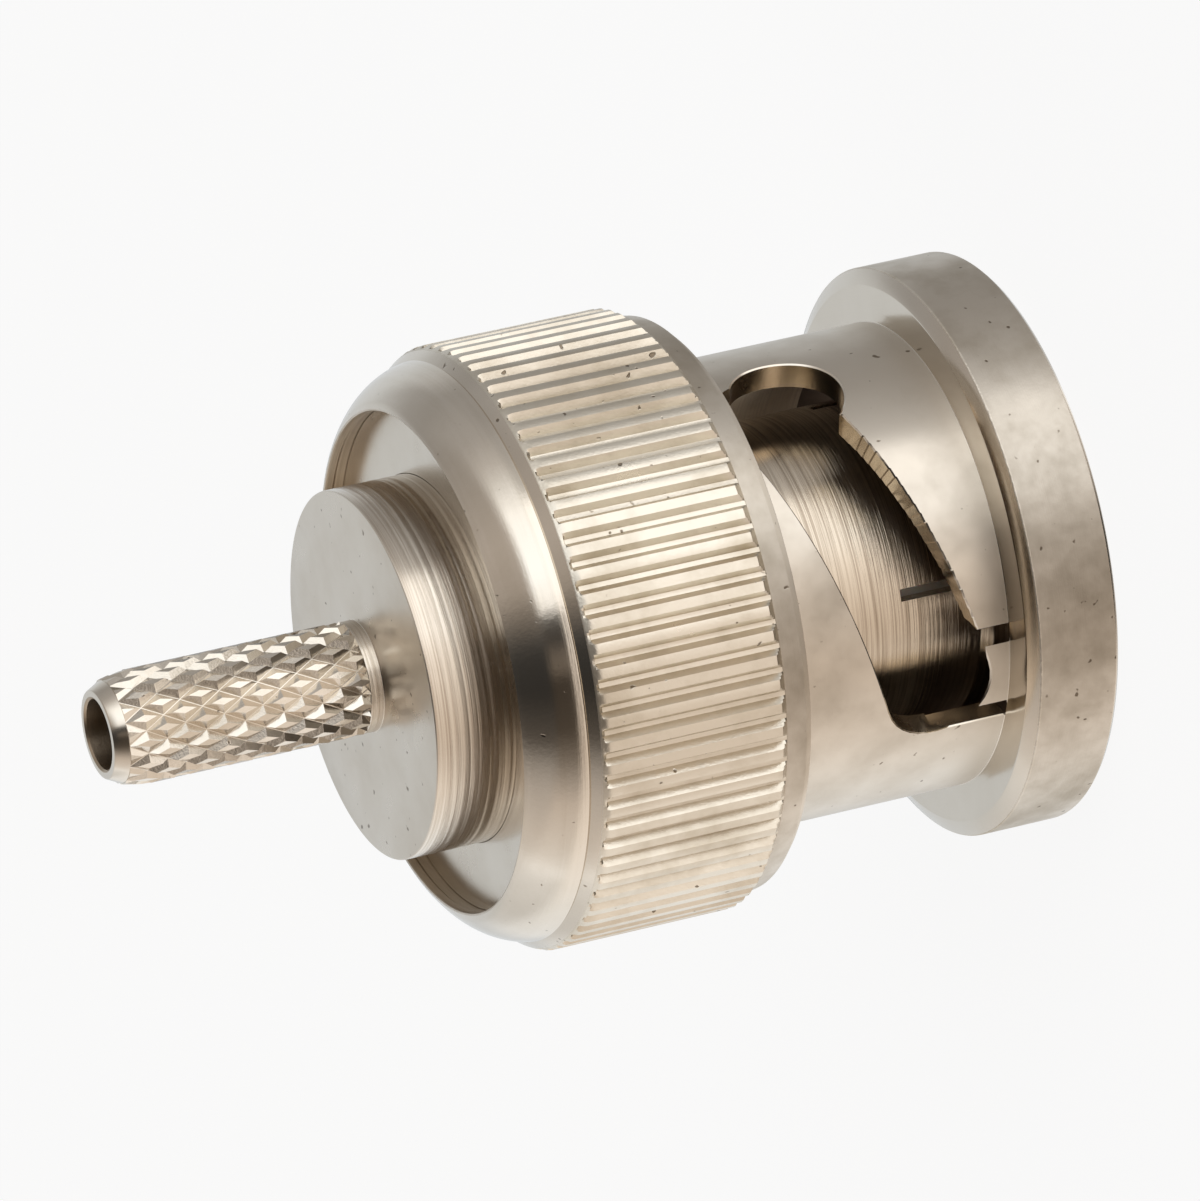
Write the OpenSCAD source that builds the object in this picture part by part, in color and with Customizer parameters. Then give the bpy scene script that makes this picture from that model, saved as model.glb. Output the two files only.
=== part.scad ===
// Bayonet coaxial plug with a crimp stem: coupling nut, sprung washers, plug body
// and contacts. Units are millimetres. The nut's mating face lies on z = 0 and the
// axis runs up +Z to the cable end, so the part stands on its mating face.

/* [Coupling nut] */
// Diameter over the crests of the straight knurl
collar_d = 14.5; // [14.3:0.1:14.9]
// Diameter of the plain rim at the mating end
rim_d = 13.8; // [13.6:0.1:14.2]
// Length of the plain rim
rim_len = 2.24; // [2.1:0.02:2.4]
// Axial length of the chamfer behind the rim
rim_rear_chamfer_z = 0.19; // [0.1:0.01:0.25]
// Radial width of the chamfer behind the rim
rim_rear_chamfer_r = 0.4; // [0.2:0.05:0.5]
// Chamfer at the rim's front edge
rim_front_chamfer = 0.12; // [0.05:0.01:0.2]
// Outside diameter of the slotted sleeve
sleeve_d = 11.24; // [11.14:0.02:11.4]
// Length of the slotted sleeve between rim and collar
sleeve_len = 5.62; // [5.6:0.02:5.8]
// Bore that takes the socket's barrel
socket_bore_d = 9.96; // [9.9:0.02:10.1]
// Lead-in chamfer of that bore
socket_lead_in = 0.15; // [0.05:0.05:0.3]
// Radius of the collar's front corner
collar_nose_r = 6.7; // [6.6:0.02:6.8]
// Radial size of the break at the collar's front corner
collar_break_r = 0.23; // [0.18:0.01:0.28]
// Axial size of that break
collar_break_z = 0.22; // [0.16:0.01:0.28]
// Depth of the plain band in front of the knurl below the knurl's roots
collar_band_drop = 0.02; // [0.02:0.01:0.05]
// Length of the collar in front of the knurl's chamfer
collar_band_z = 0.76; // [0.7:0.02:0.8]
// Length of the collar in front of the knurl's crests
collar_front_z = 0.96; // [0.94:0.02:1.1]
// Distance of the rear end of the knurl's crests in front of the lip's edge
collar_back = 1.72; // [1.66:0.02:1.78]
// Radial fall of the rounded land behind the knurl
land_fall = 0.08; // [0.05:0.01:0.12]
// Length of that land
land_len = 0.21; // [0.16:0.01:0.24]
// Radial fall of the chamfer behind the land
rear_fall = 0.25; // [0.2:0.01:0.3]
// Length of that chamfer
rear_len = 0.25; // [0.2:0.01:0.28]
// Radius of the rolled dome behind the collar
dome_r = 1.86; // [1.8:0.01:1.9]
// Radial position of the dome's centre
dome_centre_r = 5.13; // [5.1:0.01:5.2]
// Distance of the dome's centre in front of the lip's edge
dome_back = 1.6; // [1.56:0.01:1.62]
// Overall length of the nut
nut_len = 14.82; // [14.78:0.01:14.88]
// Inner radius of the rolled lip
lip_r = 5.98; // [5.95:0.01:6.0]
// Length of the rolled lip
lip_len = 0.2; // [0.15:0.01:0.22]

/* [Straight knurl] */
// Number of teeth round the collar
knurl_teeth = 78; // [72:2:84]
// Depth of the straight knurl
knurl_depth = 0.2; // [0.14:0.01:0.22]
// Share of the pitch taken by each crest
knurl_crest = 0.4; // [0.3:0.05:0.5]
// Share of the pitch taken by each root
knurl_root = 0.2; // [0.1:0.05:0.3]

/* [Bayonet slots] */
// Width of the cam slot
slot_w = 2.65; // [2.5:0.05:2.7]
// Width of the keyway that lets the lug in
key_w = 2.5; // [2.35:0.05:2.5]
// Radius that the keyway reaches inside the rim
key_r = 5.6; // [5.5:0.02:5.6]
// Angle of the first keyway about the axis
key_at = -34.85; // [-40:0.05:-30]
// Height of the slot's centre line above the keyway
slot_z0 = 4.06; // [4.0:0.02:4.1]
// Rise of the slot's centre line along the ramp
slot_rise = 2.385; // [2.3:0.005:2.4]
// Turn of the ramp about the axis
slot_turn = 78.85; // [76:0.05:80]
// Straight steps that make up one ramp
slot_steps = 12; // [10:1:14]
// Diameter of the detent hole
detent_d = 2.68; // [2.5:0.02:2.7]
// Height of the detent hole over the mating face
detent_z = 5.8; // [5.75:0.01:5.85]
// Angle from the keyway to the detent hole
detent_turn = 84.15; // [83:0.05:86]

/* [Washers and springs] */
// Distance of the shoulder that stops the plug's flange in front of the lip's edge
seat_back = 3.52; // [3.47:0.01:3.57]
// Radial clearance of the flange in the nut
flange_clear = 0.08; // [0.05:0.01:0.1]
// Bore for the flange and the sprung washers
spring_bore_d = 11.0; // [10.9:0.02:11.1]
// Thickness of the retaining washer
retain_t = 0.8; // [0.7:0.02:0.8]
// Outer diameter of the retaining washer
retain_d = 12.1; // [12.06:0.02:12.16]
// Depth of the retaining washer's outer face inside the lip
retain_recess = 0.52; // [0.5:0.01:0.56]
// Radial clearance of the plug's hub in the washers
hub_clear = 0.05; // [0.04:0.01:0.1]
// Thickness of the thrust washer
thrust_t = 0.3; // [0.2:0.02:0.32]
// Thickness of one wave washer
wave_t = 0.18; // [0.14:0.01:0.2]
// Number of waves in each wave washer
wave_count = 3; // [3:1:4]

/* [Plug body] */
// Diameter of the hub behind the nut
hub_d = 8.82; // [8.7:0.02:8.9]
// Length of the hub that stands out behind the nut
hub_stand = 1.47; // [1.4:0.01:1.56]
// Chamfer at the hub's rear edge
hub_chamfer = 0.06; // [0.04:0.01:0.1]
// Thickness of the flange
flange_t = 0.9; // [0.86:0.02:0.92]
// Length of the stem behind the hub
stem_len = 6.64; // [6.6:0.01:6.9]
// Diameter over the points of the stem's knurl
stem_d = 2.74; // [2.7:0.02:2.8]
// Plain length at the stem's root
stem_neck = 0.32; // [0.3:0.02:0.44]
// Bore of the stem
stem_bore_d = 1.68; // [1.6:0.02:1.7]
// Radial width of the chamfer in the stem's mouth
stem_mouth = 0.05; // [0.03:0.01:0.08]
// Outer radius of the stem's flat end
stem_tip_r = 1.05; // [1.0:0.01:1.1]
// Length of the stem's tapered tip
stem_taper = 0.78; // [0.7:0.02:0.8]

/* [Diamond knurl] */
// Grooves of each hand round the stem
diamond_starts = 14; // [12:1:16]
// Axial pitch of the diamonds
diamond_pitch = 0.97; // [0.96:0.005:0.98]
// Depth of the diamond knurl
diamond_depth = 0.13; // [0.08:0.01:0.14]

/* [Contacts and insulators] */
// Outside diameter of the spring fingers behind their bead
finger_d = 7.9; // [7.86:0.02:7.94]
// Outside diameter of the bead on the fingers
bead_d = 8.22; // [8.21:0.01:8.26]
// Height of the fingers' tips over the mating face
finger_z = 0.6; // [0.5:0.02:0.65]
// Height of the bead's rear edge
bead_z = 1.92; // [1.86:0.02:1.98]
// Length of the ramp behind the bead
bead_ramp = 0.27; // [0.2:0.01:0.3]
// Number of slits between the fingers
slit_count = 4; // [4:1:6]
// Width of the slits
slit_w = 0.3; // [0.2:0.02:0.36]
// Height of the slits' closed ends
slit_top_z = 4.2; // [4.0:0.05:4.3]
// Angle of the first slit about the axis
slit_at = -13.5; // [-20:0.5:-10]
// Wall thickness of the contact's pressed tail
tail_wall = 0.3; // [0.26:0.02:0.34]
// Length of the contact's pressed tail
tail_len = 2.5; // [2.4:0.05:2.6]
// Diameter of both insulators
insulator_d = 6.6; // [6.54:0.02:6.62]
// Relief of the finger bore over the insulator
finger_relief = 0.15; // [0.1:0.01:0.16]
// Height of the front insulator's mouth
insulator_z = 1.9; // [1.8:0.05:2.0]
// Diameter of the front insulator's cavity
cavity_d = 4.9; // [4.8:0.02:5.0]
// Depth of that cavity
cavity_len = 5.0; // [4.8:0.05:5.2]
// Distance of the joint between the two insulators in front of the flange
insulator_joint = 0.4; // [0.3:0.05:0.5]
// Distance of the rear insulator's end inside the hub's rear face
insulator_back = 1.39; // [1.3:0.05:1.5]
// Diameter of the centre pin
pin_d = 1.35; // [1.32:0.01:1.38]
// Height of the pin's tip
pin_z = 1.35; // [1.3:0.05:1.5]
// Length of the pin's pointed tip
pin_point = 0.6; // [0.5:0.05:0.7]
// Diameter of the pin's shank in the front insulator
shank_d = 1.7; // [1.68:0.02:1.76]
// Diameter of the pin's collar
pin_collar_d = 2.5; // [2.4:0.02:2.6]
// Length of the pin's collar
pin_collar_len = 0.7; // [0.6:0.02:0.8]
// Diameter of the pin's wire barrel
barrel_d = 2.04; // [2.02:0.02:2.1]
// Depth of the wire barrel's end inside the rear insulator
barrel_back = 0.3; // [0.2:0.05:0.4]
// Bore of the wire barrel
wire_d = 0.9; // [0.8:0.02:1.0]
// Depth of the wire barrel's bore
wire_len = 3.2; // [3.0:0.05:3.4]
// Diameter of the inspection hole in the wire barrel
peep_d = 0.4; // [0.3:0.02:0.5]

/* [Gasket] */
// Outer diameter of the gasket
gasket_d = 9.4; // [9.3:0.02:9.5]
// Thickness of the gasket
gasket_t = 0.8; // [0.7:0.02:0.9]

/* [Hidden] */
$fn = 96;
eps = 0.02;
collar_z = rim_len + sleeve_len;
collar_r = collar_d / 2;
root_r = collar_r - knurl_depth;
knurl_end_z = nut_len - collar_back;
rear_z = knurl_end_z + land_len;
dome_centre_z = nut_len - dome_back;
retain_top_z = nut_len - retain_recess;
seat_z = nut_len - seat_back;
hub_top_z = nut_len + hub_stand;
stem_top_z = hub_top_z + stem_len;
insulator_joint_z = seat_z - insulator_joint;
insulator_end_z = hub_top_z - insulator_back;
barrel_end_z = insulator_end_z - barrel_back;
spring_r = spring_bore_d / 2;
retain_z = retain_top_z - retain_t;
flange_r = spring_r - flange_clear;
flange_top_z = seat_z + flange_t;
thrust_top_z = flange_top_z + thrust_t;
wave_h = (retain_z - thrust_top_z) / 2;
washer_r = hub_d / 2 + hub_clear;
finger_r = finger_d / 2;
tail_r = insulator_d / 2 + tail_wall;
tail_top_z = seat_z + tail_len;
wave_mid_r = (washer_r + spring_r) / 2;

// A plain ring between two heights, with small chamfers on its outer edges
module ring(r_in, r_out, z0, z1, c = 0.05)
    rotate_extrude()
        polygon([[r_in, z0], [r_out - c, z0], [r_out, z0 + c],
                 [r_out, z1 - c], [r_out - c, z1], [r_in, z1]]);

// ---- coupling nut ----

// Outline of the turned nut, right of the axis
module nut_outline() {
    polygon([[0, 0], [rim_d / 2 - rim_front_chamfer, 0], [rim_d / 2, rim_front_chamfer],
             [rim_d / 2, rim_len - rim_rear_chamfer_z],
             [rim_d / 2 - rim_rear_chamfer_r, rim_len], [0, rim_len]]);
    translate([0, rim_len - eps])
        square([sleeve_d / 2, sleeve_len + 2 * eps]);
    polygon([[0, collar_z], [collar_nose_r, collar_z],
             [collar_nose_r + collar_break_r, collar_z + collar_break_z],
             [root_r - collar_band_drop, collar_z + collar_band_z],
             [collar_r, collar_z + collar_front_z],
             [collar_r, knurl_end_z], [collar_r - land_fall, rear_z],
             [collar_r - land_fall - rear_fall, rear_z + rear_len],
             [0, rear_z + rear_len]]);
    intersection() {
        translate([dome_centre_r, dome_centre_z])
            circle(dome_r);
        translate([dome_centre_r, dome_centre_z])
            square([2 * dome_r, nut_len - dome_centre_z]);
    }
}

// Bores of the nut, from the mating end to the rolled lip
module nut_bores()
    polygon([[0, -1], [socket_bore_d / 2 + socket_lead_in + 1, -1],
             [socket_bore_d / 2 + socket_lead_in, 0],
             [socket_bore_d / 2, socket_lead_in], [socket_bore_d / 2, seat_z],
             [spring_r, seat_z], [spring_r, retain_z], [retain_d / 2, retain_z],
             [retain_d / 2, nut_len - lip_len - 0.1], [lip_r, nut_len - lip_len],
             [lip_r + lip_len / 2, nut_len], [lip_r + 1, nut_len + 1], [0, nut_len + 1]]);

// Cross-section of the straight knurl
module knurl_section() {
    step = 360 / knurl_teeth;
    polygon([for (i = [0:knurl_teeth - 1])
             for (p = [[-knurl_crest / 2, 0], [knurl_crest / 2, 0],
                       [0.5 - knurl_root / 2, 1], [0.5 + knurl_root / 2, 1]])
             let (a = (i + p[0]) * step, r = collar_r + 0.01 - p[1] * (knurl_depth + 0.01))
             [r * cos(a), r * sin(a)]]);
}

// What the knurl wheel takes off the collar, with a slanted run-out at the rear
module knurl_cut()
    difference() {
        rotate_extrude()
            polygon([[root_r - 0.1, collar_z - 0.5],
                     [collar_r + 1, collar_z - 0.5],
                     [collar_r + 1, rear_z], [collar_r, rear_z - 0.03],
                     [root_r - 0.1, rear_z - 0.08 - knurl_depth / 2]]);
        translate([0, 0, collar_z - 1])
            linear_extrude(knurl_end_z - collar_z + 2)
                knurl_section();
    }

// Cutter for one cam slot: keyway, ramp in straight steps and detent hole
module slot_cutter() {
    step = slot_turn / slot_steps;
    rise = slot_rise / slot_steps;
    arc = 2 * PI * sleeve_d / 2 * step / 360;
    tilt = atan(rise / arc);
    run = sqrt(arc * arc + rise * rise);
    intersection() {
        translate([0, -key_w / 2, -1])
            cube([sleeve_d, key_w, 1 + rim_len]);
        translate([0, 0, -1])
            cylinder(r = key_r, h = 1 + rim_len);
    }
    translate([0, -key_w / 2, rim_len])
        cube([sleeve_d, key_w, slot_z0 - rim_len]);
    translate([0, 0, slot_z0])
        rotate([0, 90, 0])
            cylinder(d = slot_w - 0.04, h = sleeve_d);
    for (i = [0:slot_steps - 1])
        rotate([0, 0, (i + 0.5) * step])
            translate([0, 0, slot_z0 + (i + 0.5) * rise])
                rotate([tilt, 0, 0])
                    translate([0, -run / 2 - 0.03, -slot_w / 2])
                        cube([sleeve_d, run + 0.06, slot_w]);
    rotate([0, 0, slot_turn])
        translate([0, 0, slot_z0 + slot_rise])
            rotate([0, 90, 0])
                cylinder(d = slot_w - 0.04, h = sleeve_d);
    rotate([0, 0, detent_turn])
        translate([0, 0, detent_z])
            rotate([0, 90, 0])
                cylinder(d = detent_d, h = sleeve_d);
}

module coupling_nut()
    color([0.74, 0.70, 0.64])
        difference() {
            rotate_extrude()
                difference() {
                    nut_outline();
                    nut_bores();
                }
            knurl_cut();
            for (a = [0, 180])
                rotate([0, 0, key_at + a])
                    slot_cutter();
        }

// ---- washers ----

module retaining_washer()
    color([0.72, 0.70, 0.67])
        ring(washer_r, retain_d / 2, retain_z, retain_top_z);

module thrust_washer()
    color([0.72, 0.70, 0.67])
        ring(washer_r, flange_r, flange_top_z, thrust_top_z);

// A flat ring bent into waves: z0 is its lowest point, h its free height
module wave_ring(z0, h, turn) {
    n = 48;
    amp = (h - wave_t) / 2;
    r0 = washer_r + 0.06;
    r1 = spring_r - 0.12;
    pts = [for (i = [0:n - 1])
           for (p = [[r0, 0], [r1, 0], [r1, wave_t], [r0, wave_t]])
           let (a = i * 360 / n)
           [p[0] * cos(a), p[0] * sin(a),
            z0 + amp + amp * cos(wave_count * a + turn) + p[1]]];
    faces = [for (i = [0:n - 1])
             for (k = [0:3])
             let (j = (i + 1) % n, m = (k + 1) % 4)
             each [[4 * i + k, 4 * j + k, 4 * j + m], [4 * i + k, 4 * j + m, 4 * i + m]]];
    polyhedron(pts, faces);
}

module wave_washer_front()
    color([0.62, 0.60, 0.57])
        wave_ring(thrust_top_z, wave_h, 0);

module wave_washer_rear()
    color([0.62, 0.60, 0.57])
        wave_ring(thrust_top_z + wave_h, wave_h, 180);

// ---- plug body ----

// Solid band of four-sided points: grooves of both hands cross at the low points.
// Whole rows run down from z1, and z0 cuts the last one short.
module diamond_band(z0, z1) {
    n = 2 * diamond_starts;
    h = diamond_pitch / 2;
    rows = ceil((z1 - z0) / h);
    part = (z1 - z0) / h - (rows - 1);
    function lattice_r(i, j) =
        stem_d / 2 - ((rows - i + j) % 2 == 0 ? diamond_depth : 0);
    function ring_r(i, j) =
        i > 0 ? lattice_r(i, j) : part * lattice_r(0, j) + (1 - part) * lattice_r(1, j);
    pts = [for (i = [0:rows])
           for (j = [0:n - 1])
           let (a = (j + 0.45) * 360 / n, r = ring_r(i, j))
           [r * cos(a), r * sin(a), i > 0 ? z1 - (rows - i) * h : z0]];
    mid = [[0, 0, z0], [0, 0, z1]];
    c = n * (rows + 1);
    sides = [for (i = [0:rows - 1])
             for (j = [0:n - 1])
             let (k = (j + 1) % n, a = i * n + j, b = i * n + k)
             each (rows - i + j) % 2 == 0
             ? [[a, b + n, b], [a, a + n, b + n]]
             : [[a, a + n, b], [b, a + n, b + n]]];
    ends = [for (j = [0:n - 1])
            let (k = (j + 1) % n)
            each [[c, j, k], [c + 1, rows * n + k, rows * n + j]]];
    polyhedron(concat(pts, mid), concat(sides, ends));
}

module crimp_body() {
    taper_z = stem_top_z - stem_taper;
    knurl_z = hub_top_z + stem_neck;
    neck_r = stem_d / 2 - 0.04;
    core_r = stem_d / 2 - diamond_depth - 0.04;
    color([0.75, 0.71, 0.65])
        difference() {
            union() {
                rotate_extrude()
                    polygon([[0, seat_z], [flange_r - 0.05, seat_z],
                             [flange_r, seat_z + 0.05], [flange_r, flange_top_z],
                             [hub_d / 2, flange_top_z], [hub_d / 2, hub_top_z - hub_chamfer],
                             [hub_d / 2 - hub_chamfer, hub_top_z], [neck_r, hub_top_z],
                             [neck_r, knurl_z + eps], [core_r, knurl_z + eps],
                             [core_r, taper_z - eps], [neck_r, taper_z - eps],
                             [stem_d / 2 - 0.1, stem_top_z - stem_taper * 0.6],
                             [stem_tip_r, stem_top_z], [0, stem_top_z]]);
                diamond_band(knurl_z, taper_z);
            }
            rotate_extrude()
                polygon([[0, seat_z - 1], [tail_r, seat_z - 1], [tail_r, tail_top_z],
                         [insulator_d / 2, tail_top_z], [insulator_d / 2, insulator_end_z],
                         [stem_bore_d / 2, insulator_end_z],
                         [stem_bore_d / 2, stem_top_z - stem_mouth],
                         [stem_bore_d / 2 + stem_mouth, stem_top_z],
                         [stem_bore_d / 2 + stem_mouth, stem_top_z + 1], [0, stem_top_z + 1]]);
        }
}

// ---- contacts and insulators ----

module outer_contact()
    color([0.74, 0.69, 0.60])
        difference() {
            rotate_extrude()
                polygon([[insulator_d / 2 + finger_relief, finger_z],
                         [bead_d / 2 - 0.3, finger_z], [bead_d / 2, finger_z + 0.35],
                         [bead_d / 2, bead_z], [finger_r, bead_z + bead_ramp],
                         [finger_r, seat_z], [tail_r, seat_z], [tail_r, tail_top_z],
                         [insulator_d / 2, tail_top_z],
                         [insulator_d / 2, slit_top_z + 0.4],
                         [insulator_d / 2 + finger_relief, slit_top_z + 0.2]]);
            for (i = [0:slit_count - 1])
                rotate([0, 0, slit_at + i * 360 / slit_count])
                    translate([insulator_d / 2 - 0.5, -slit_w / 2, finger_z - 1])
                        cube([bead_d / 2, slit_w, slit_top_z - finger_z + 1]);
        }

module front_insulator()
    color([0.95, 0.94, 0.91])
        rotate_extrude()
            polygon([[cavity_d / 2, insulator_z], [insulator_d / 2, insulator_z],
                     [insulator_d / 2, insulator_joint_z],
                     [pin_collar_d / 2, insulator_joint_z],
                     [pin_collar_d / 2, insulator_joint_z - pin_collar_len],
                     [shank_d / 2, insulator_joint_z - pin_collar_len],
                     [shank_d / 2, insulator_z + cavity_len],
                     [cavity_d / 2, insulator_z + cavity_len]]);

module rear_insulator()
    color([0.95, 0.94, 0.91])
        rotate_extrude()
            polygon([[barrel_d / 2, insulator_joint_z], [insulator_d / 2, insulator_joint_z],
                     [insulator_d / 2, insulator_end_z], [barrel_d / 2, insulator_end_z]]);

module centre_contact()
    color([0.83, 0.66, 0.33])
        difference() {
            rotate_extrude()
                polygon([[0, pin_z], [pin_d / 6, pin_z], [pin_d / 2 - 0.08, pin_z + pin_point * 0.6],
                         [pin_d / 2, pin_z + pin_point],
                         [pin_d / 2, insulator_z + cavity_len],
                         [shank_d / 2, insulator_z + cavity_len],
                         [shank_d / 2, insulator_joint_z - pin_collar_len],
                         [pin_collar_d / 2, insulator_joint_z - pin_collar_len],
                         [pin_collar_d / 2, insulator_joint_z],
                         [barrel_d / 2, insulator_joint_z], [barrel_d / 2, barrel_end_z],
                         [wire_d / 2, barrel_end_z], [wire_d / 2, barrel_end_z - wire_len],
                         [0, barrel_end_z - wire_len]]);
            translate([0, 0, barrel_end_z - wire_len + 0.6])
                rotate([0, 90, 0])
                    cylinder(d = peep_d, h = barrel_d);
        }

module gasket()
    color([0.80, 0.30, 0.22])
        ring(finger_r, gasket_d / 2, seat_z - gasket_t, seat_z, 0.1);

coupling_nut();
retaining_washer();
wave_washer_front();
wave_washer_rear();
thrust_washer();
crimp_body();
outer_contact();
front_insulator();
rear_insulator();
centre_contact();
gasket();
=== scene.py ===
from math import atan2, cos, degrees, hypot, pi, radians, sin, sqrt
from random import Random

import bmesh
import bpy
from mathutils import Matrix, Vector


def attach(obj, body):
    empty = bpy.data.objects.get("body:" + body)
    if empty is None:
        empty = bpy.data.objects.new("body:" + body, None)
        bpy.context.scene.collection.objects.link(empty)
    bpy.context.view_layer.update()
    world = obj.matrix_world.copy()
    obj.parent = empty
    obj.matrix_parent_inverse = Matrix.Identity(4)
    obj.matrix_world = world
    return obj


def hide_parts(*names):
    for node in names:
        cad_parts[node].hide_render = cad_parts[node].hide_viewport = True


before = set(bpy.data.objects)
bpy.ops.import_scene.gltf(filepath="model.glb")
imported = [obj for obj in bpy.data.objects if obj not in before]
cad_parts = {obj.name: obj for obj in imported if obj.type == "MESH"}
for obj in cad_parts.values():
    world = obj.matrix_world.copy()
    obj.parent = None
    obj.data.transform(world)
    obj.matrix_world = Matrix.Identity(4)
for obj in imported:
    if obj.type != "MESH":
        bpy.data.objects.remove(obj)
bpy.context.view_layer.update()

MM = 0.001
scene = bpy.context.scene

# ---- sizes of the plug, millimetres and degrees ----
RIM_R, RIM_LEN = 6.9, 2.24
SLEEVE_R = 5.62
BORE_R = 4.98
COLLAR_Z = 7.86
CREST_R, ROOT_R = 7.25, 7.05
TEETH = 78
CREST_Z0, CREST_Z1 = 8.82, 13.10      # ends of the straight knurl's crests
DOME_R, DOME_AT_R, DOME_AT_Z = 1.86, 5.13, 13.22
NUT_LEN, LIP_R, SEATED_R = 14.82, 5.98, 6.05
SEAT_Z, SPRING_R = 11.3, 5.5
WASHER_Z, WASHER_TOP = 13.5, 14.3
SLOT_W, KEY_W, KEY_R = 2.65, 2.5, 5.6
SLOT_AT, SLOT_Z, SLOT_TURN, SLOT_RISE = -34.85, 4.06, 78.85, 2.385
DETENT_AT, DETENT_Z, DETENT_R = 49.3, 5.8, 1.34
HUB_R, HUB_TOP = 4.41, 16.29
STEM_TOP, STEM_BORE = 22.93, 0.84
STARTS, DIAMOND_Z = 14, 0.97          # grooves of each hand, and one diamond's length
DIAMOND_R, GROOVE_R = 1.366, 1.226
CROSS_AT, CROSS_Z = 5.6, 22.15        # one place where two grooves cross
KNURL_Z0, KNURL_Z1 = 16.62, 22.60
TAPER_Z, TAPER = 22.05, 0.21          # the tip's taper, radius lost per mm
NECK_R, GROOVED_R, TIP_R = 1.335, 1.19, 1.05
FLANGE_R, FLANGE_TOP = 5.42, 12.2
FINGER_R, BEAD_R, FINGER_IN_R = 3.95, 4.11, 3.45
FINGER_Z, BEAD_Z, SLIT_TOP, SLIT_W = 0.6, 1.92, 4.2, 0.3
SLITS_AT = -13.5
TAIL_R, TAIL_TOP = 3.6, 13.8          # the contact's tail, pressed into the hub
CORE_R, CORE_Z, CORE_TOP = 3.3, 1.9, 14.9      # the insulators
CAVITY_R, CAVITY_TOP, JOINT_Z = 2.45, 6.9, 10.9
PIN_R, PIN_Z, SHANK_R = 0.675, 1.35, 0.85
PIN_COLLAR_R, PIN_COLLAR_Z = 1.25, 10.2
BARREL_R, BARREL_TOP, WIRE_R, WIRE_Z = 1.02, 14.6, 0.45, 11.4
PEEP_R, PEEP_Z = 0.2, 12.0            # the barrel's inspection hole
SEAL_R, SEAL_IN_R, SEAL_Z = 4.7, 3.96, 10.5
WASHER_R, WASHER_IN_R = 6.045, 4.42
FACETS = 10                           # steps of one knurl tooth's section
STEPS = FACETS * TEETH                # facets round the nut


# ---- camera ----
cam = bpy.data.cameras.new("camera")
cam.sensor_fit = "HORIZONTAL"
cam.sensor_width = 36.0
cam.lens = 339.75
cam.clip_start, cam.clip_end = 0.01, 10.0
camera = bpy.data.objects.new("camera", cam)
back = Vector((0.9362, -0.0019, 0.3514)).normalized()
right = Vector((0.3426, -0.2183, -0.9138))
right = (right - back * right.dot(back)).normalized()
stand = Matrix((right, back.cross(right), back)).transposed().to_4x4()
stand.translation = Vector((249.30, 0, 103.68)) * MM
camera.matrix_world = stand
scene.collection.objects.link(camera)
scene.camera = camera


# ---- nodes and materials ----
def linear(code):
    """An sRGB hex colour as linear red, green, blue and alpha."""
    parts = [int(code[i:i + 2], 16) / 255 for i in (1, 3, 5)]
    return [c / 12.92 if c <= 0.04045 else ((c + 0.055) / 1.055) ** 2.4 for c in parts] + [1]


def add(tree, kind, inputs=(), **settings):
    """Adds a node, with its settings, and the values or links of its inputs."""
    node = tree.nodes.new(kind)
    for name, value in settings.items():
        setattr(node, name, value)
    for key, value in dict(inputs).items():
        if isinstance(value, bpy.types.NodeSocket):
            tree.links.new(value, node.inputs[key])
        else:
            node.inputs[key].default_value = value
    return node


def blank(name):
    """A new material, with its node tree and its shader."""
    material = bpy.data.materials.new(name)
    material.use_nodes = True
    return material, material.node_tree, material.node_tree.nodes["Principled BSDF"]


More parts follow.
